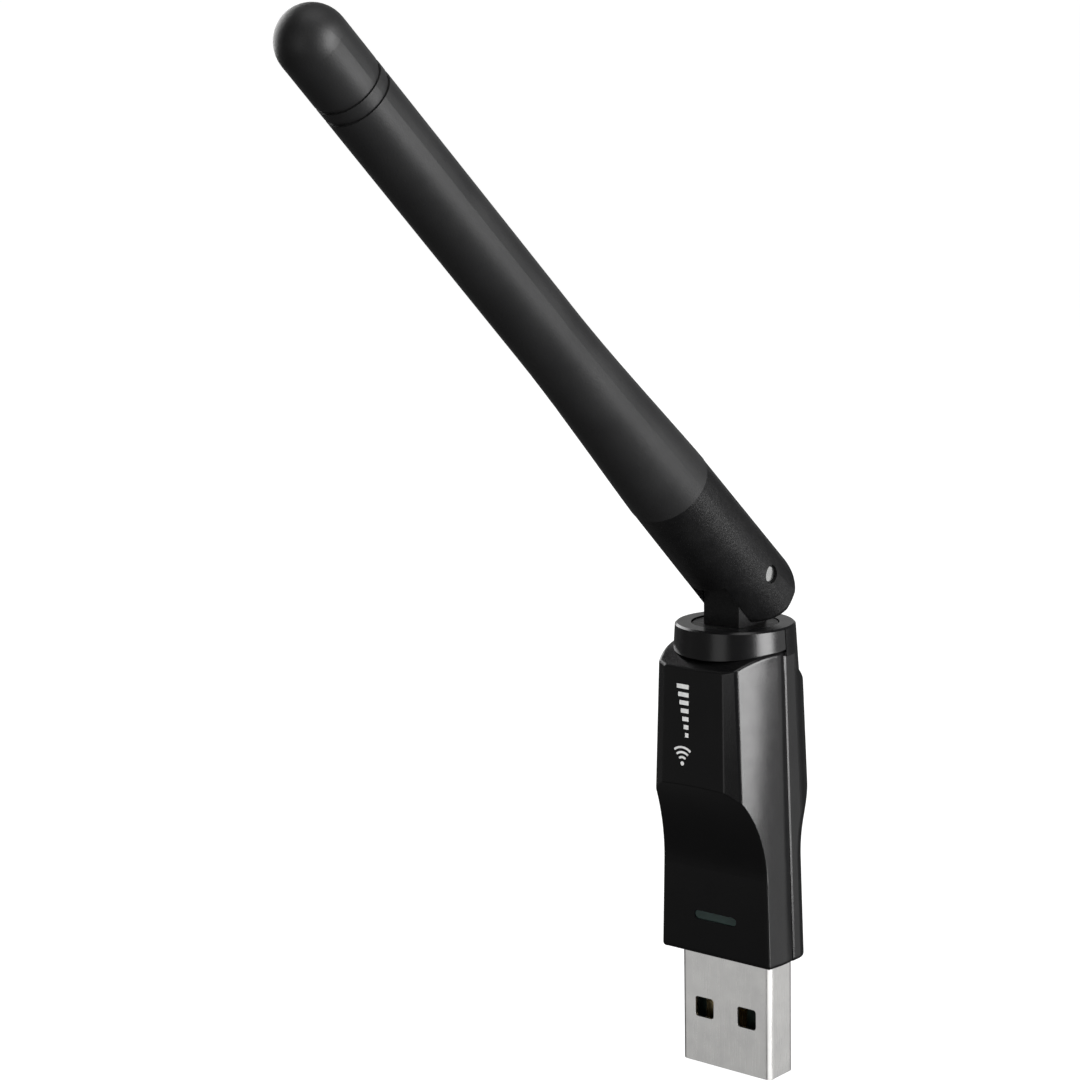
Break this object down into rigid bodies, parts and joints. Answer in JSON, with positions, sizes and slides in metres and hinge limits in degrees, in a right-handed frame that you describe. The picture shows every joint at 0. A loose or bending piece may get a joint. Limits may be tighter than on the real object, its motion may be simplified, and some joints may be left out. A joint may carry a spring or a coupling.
{
  "type": "usb wifi adapter",
  "caption": "Black USB network adapter: metal plug, stepped two-shell housing, and a rod antenna on a swivelling, tilting hinge.",
  "frame": {"origin": "centre of the plug's open end, on the housing's parting plane", "axes": "+Z along the plug and housing towards the antenna; -Y is the front face with the light slot; +X is across the plug's wide side and along the hinge pins"},
  "size_m": [0.0152, 0.072, 0.115],
  "materials": {
    "shell_plastic": "satin black moulded plastic",
    "clear_plastic": "smoky clear plastic",
    "plug_metal": "fine brushed nickel plate",
    "dark_plastic": "matte dark moulded plastic",
    "gold_contact": "gold plate",
    "board": "green solder mask",
    "chip_plastic": "matte black moulded package",
    "can_metal": "plated can",
    "ferrite": "grey ferrite",
    "led_lens": "clear lens",
    "ceramic": "ceramic",
    "cable_jacket": "smooth jacket",
    "hinge_plastic": "fine grained black plastic",
    "pin_steel": "bright pin",
    "sleeve_rubber": "soft matte black rubber",
    "brass": "drawn brass tube",
    "copper": "tinned copper wire",
    "shrink": "matte shrink tubing",
    "foam": "soft foam"
  },
  "bodies": {
    "housing": {"front_shell": "shell_plastic", "back_shell": "shell_plastic", "led_window": "clear_plastic", "usb_shell": "plug_metal", "usb_insulator": "dark_plastic", "usb_contacts": "gold_contact", "circuit_board": "board", "wifi_chip": "chip_plastic", "crystal": "can_metal", "power_inductor": "ferrite", "status_led": "led_lens", "capacitors": "ceramic", "resistors": "chip_plastic", "memory_chip": "chip_plastic", "cable_board": "cable_jacket"},
    "swivel": {"turret": "hinge_plastic", "cable_turret": "cable_jacket"},
    "antenna": {"hinge_pins": "pin_steel", "knuckle": "hinge_plastic", "antenna_sleeve": "sleeve_rubber", "cable_antenna": "cable_jacket", "radiator_tube": "brass", "element_wire": "copper", "heat_shrink": "shrink", "foam_spacer": "foam"}
  },
  "joints": [
    {"name": "antenna_swivel", "type": "hinge", "parent": "housing", "child": "swivel", "pos_m": [0, 0, 0.0484], "axis": [0, 0, 1], "range_deg": [-170, 170]},
    {"name": "antenna_tilt", "type": "hinge", "parent": "swivel", "child": "antenna", "pos_m": [0, 0, 0.05606], "axis": [1, 0, 0], "range_deg": [-48, 42]}
  ]
}
